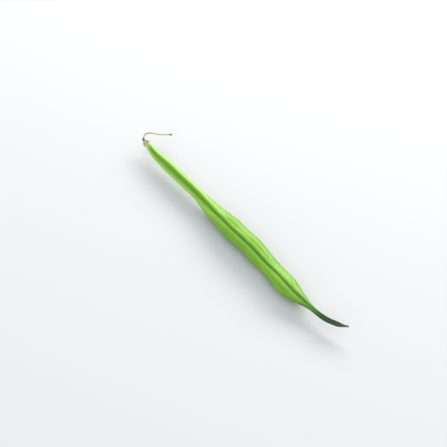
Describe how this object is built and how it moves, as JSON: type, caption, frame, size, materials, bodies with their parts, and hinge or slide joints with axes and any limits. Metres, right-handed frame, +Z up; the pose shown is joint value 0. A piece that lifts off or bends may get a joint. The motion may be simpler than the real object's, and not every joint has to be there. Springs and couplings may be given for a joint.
{
  "type": "green bean",
  "caption": "One fresh green bean as picked: a slender curved pod with a grooved seam and a pointed beak, its dried calyx and a thin bent stalk.",
  "frame": {"origin": "middle of the underside of the whole bean's box, on the surface it lies on", "axes": "+X from the stem end to the tip of the beak, +Z up from the surface the bean lies on"},
  "size_m": [0.132, 0.02, 0.0081],
  "materials": {
    "pod_skin": "satin, fresh green plant skin, paler on the lips of the seam and dark at the beak",
    "dried_calyx": "matt, dry grey-brown plant tissue",
    "dry_stalk": "matt, pale yellow-green fibrous stalk"
  },
  "bodies": {
    "root": {"pod": "pod_skin", "calyx": "dried_calyx", "stalk": "dry_stalk"}
  },
  "joints": []
}
